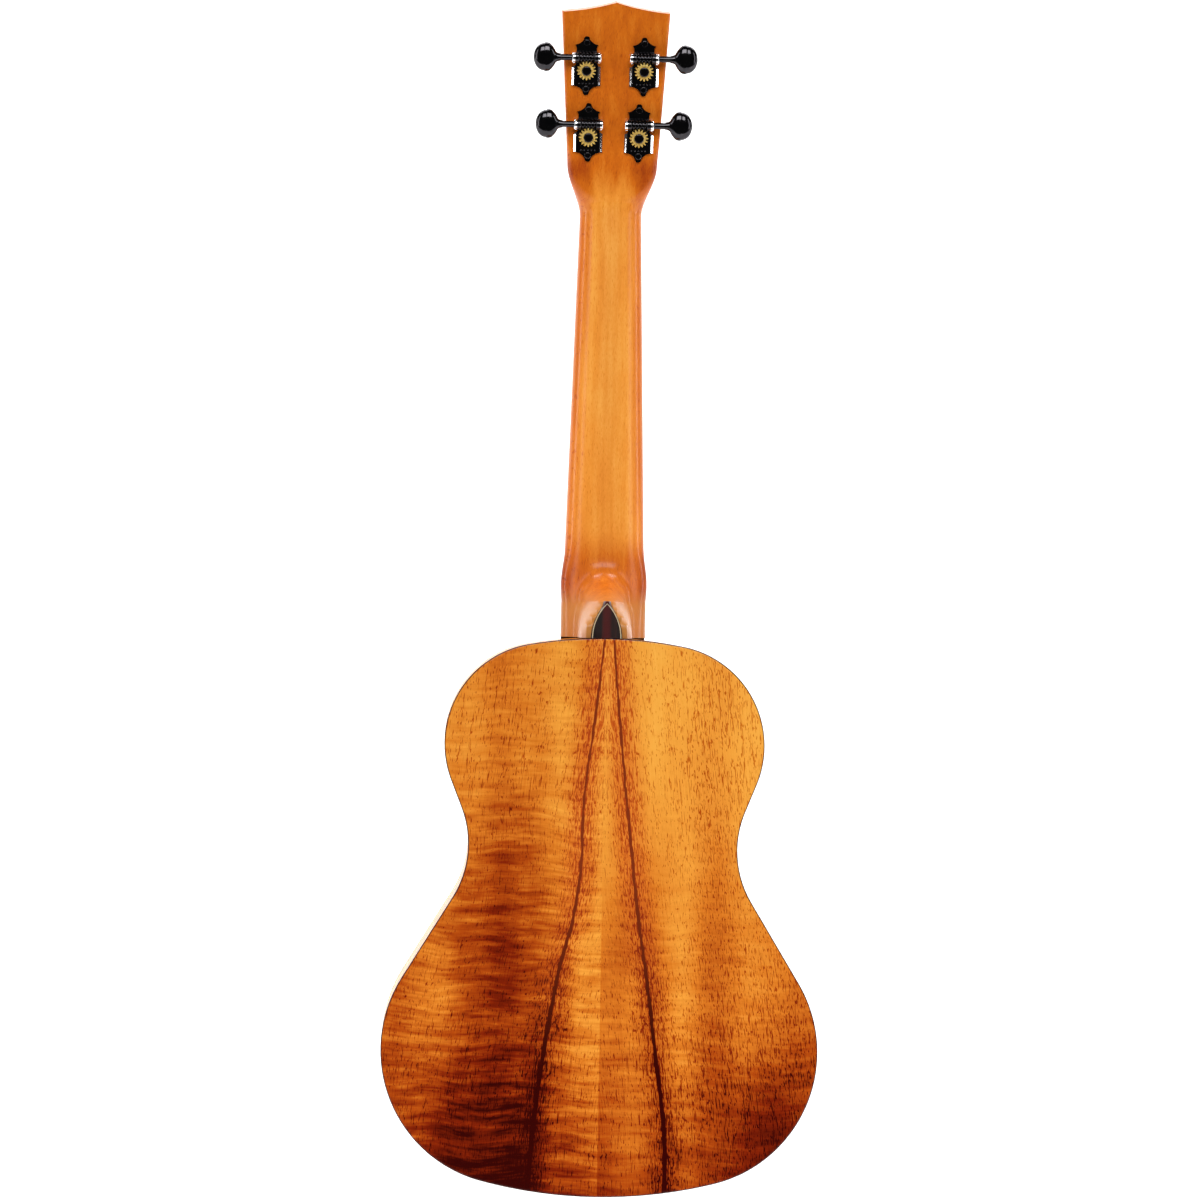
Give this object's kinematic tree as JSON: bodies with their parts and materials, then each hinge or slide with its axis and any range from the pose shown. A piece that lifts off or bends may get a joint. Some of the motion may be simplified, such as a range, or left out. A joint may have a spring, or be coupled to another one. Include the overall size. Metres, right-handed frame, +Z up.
{
  "type": "ukulele",
  "caption": "Tenor ukulele with a curly koa body, carved neck, pointed heel cap and open geared tuners that turn their string posts.",
  "frame": {"origin": "centre of the nut's fretboard side, on the plane where the fretboard meets the neck; the soundboard's face lies in the same plane", "axes": "+Z up the neck towards the headstock, +Y out of the soundboard, +X across towards the bass side"},
  "size_m": [0.239, 0.0855, 0.6599],
  "materials": {
    "koa_back": "high gloss lacquer over curly figure",
    "koa_sides": "high gloss lacquer",
    "koa_top": "high gloss lacquer",
    "mahogany": "satin lacquer",
    "dark_rosewood": "polished",
    "pale_interior_wood": "bare",
    "rosette_inlay": "gloss",
    "pearl": "gloss",
    "bone": "satin",
    "nickel_silver": "polished",
    "brass_gear": "machined",
    "fluorocarbon": "clear amber tint",
    "black_nickel": "polished black nickel"
  },
  "bodies": {
    "instrument": {"back_bass_half": "koa_back", "back_braces": "pale_interior_wood", "back_lining": "pale_interior_wood", "back_seam_strip": "pale_interior_wood", "back_treble_half": "koa_back", "bridge": "dark_rosewood", "bridge_plate": "pale_interior_wood", "fretboard": "dark_rosewood", "frets": "nickel_silver", "headstock_veneer": "dark_rosewood", "heel_cap": "dark_rosewood", "neck": "mahogany", "neck_block": "pale_interior_wood", "nut": "bone", "position_dots": "pearl", "post_bushings": "black_nickel", "rosette": "rosette_inlay", "saddle": "bone", "side_bass": "koa_sides", "side_treble": "koa_sides", "soundboard": "koa_top", "soundboard_braces": "pale_interior_wood", "soundboard_lining": "pale_interior_wood", "string_a": "fluorocarbon", "string_c": "fluorocarbon", "string_e": "fluorocarbon", "string_g": "fluorocarbon", "tail_block": "pale_interior_wood", "tuner_mounting_screws": "black_nickel", "tuner_plate_a": "black_nickel", "tuner_plate_c": "black_nickel", "tuner_plate_e": "black_nickel", "tuner_plate_g": "black_nickel"},
    "knob_g_turn": {"knob_g": "black_nickel", "worm_shaft_g": "black_nickel"},
    "post_g_turn": {"gear_g": "brass_gear", "gear_screw_g": "black_nickel", "string_post_g": "black_nickel", "string_coil_g": "fluorocarbon"},
    "knob_c_turn": {"knob_c": "black_nickel", "worm_shaft_c": "black_nickel"},
    "post_c_turn": {"gear_c": "brass_gear", "gear_screw_c": "black_nickel", "string_post_c": "black_nickel", "string_coil_c": "fluorocarbon"},
    "knob_e_turn": {"knob_e": "black_nickel", "worm_shaft_e": "black_nickel"},
    "post_e_turn": {"gear_e": "brass_gear", "gear_screw_e": "black_nickel", "string_post_e": "black_nickel", "string_coil_e": "fluorocarbon"},
    "knob_a_turn": {"knob_a": "black_nickel", "worm_shaft_a": "black_nickel"},
    "post_a_turn": {"gear_a": "brass_gear", "gear_screw_a": "black_nickel", "string_post_a": "black_nickel", "string_coil_a": "fluorocarbon"}
  },
  "joints": [
    {"name": "knob_g_spin", "type": "hinge", "parent": "instrument", "child": "knob_g_turn", "pos_m": [0.0141, -0.02765, 0.04564], "axis": [1, 0, 0], "continuous": true},
    {"name": "post_g_spin", "type": "hinge", "parent": "instrument", "child": "post_g_turn", "pos_m": [0.0141, -0.02616, 0.0386], "axis": [0, -0.9781, -0.2079], "continuous": true},
    {"name": "knob_c_spin", "type": "hinge", "parent": "instrument", "child": "knob_c_turn", "pos_m": [0.016, -0.03535, 0.08183], "axis": [1, 0, 0], "continuous": true},
    {"name": "post_c_spin", "type": "hinge", "parent": "instrument", "child": "post_c_turn", "pos_m": [0.016, -0.03385, 0.07479], "axis": [0, -0.9781, -0.2079], "continuous": true},
    {"name": "knob_e_spin", "type": "hinge", "parent": "instrument", "child": "knob_e_turn", "pos_m": [-0.016, -0.03535, 0.08183], "axis": [-1, 0, 0], "continuous": true},
    {"name": "post_e_spin", "type": "hinge", "parent": "instrument", "child": "post_e_turn", "pos_m": [-0.016, -0.03385, 0.07479], "axis": [0, -0.9781, -0.2079], "continuous": true},
    {"name": "knob_a_spin", "type": "hinge", "parent": "instrument", "child": "knob_a_turn", "pos_m": [-0.0141, -0.02765, 0.04564], "axis": [-1, 0, 0], "continuous": true},
    {"name": "post_a_spin", "type": "hinge", "parent": "instrument", "child": "post_a_turn", "pos_m": [-0.0141, -0.02616, 0.0386], "axis": [0, -0.9781, -0.2079], "continuous": true}
  ],
  "couplings": [
    {"joint": "post_g_spin", "follows": "knob_g_spin", "ratio": 0.0625},
    {"joint": "post_c_spin", "follows": "knob_c_spin", "ratio": 0.0625},
    {"joint": "post_e_spin", "follows": "knob_e_spin", "ratio": -0.0625},
    {"joint": "post_a_spin", "follows": "knob_a_spin", "ratio": -0.0625}
  ]
}
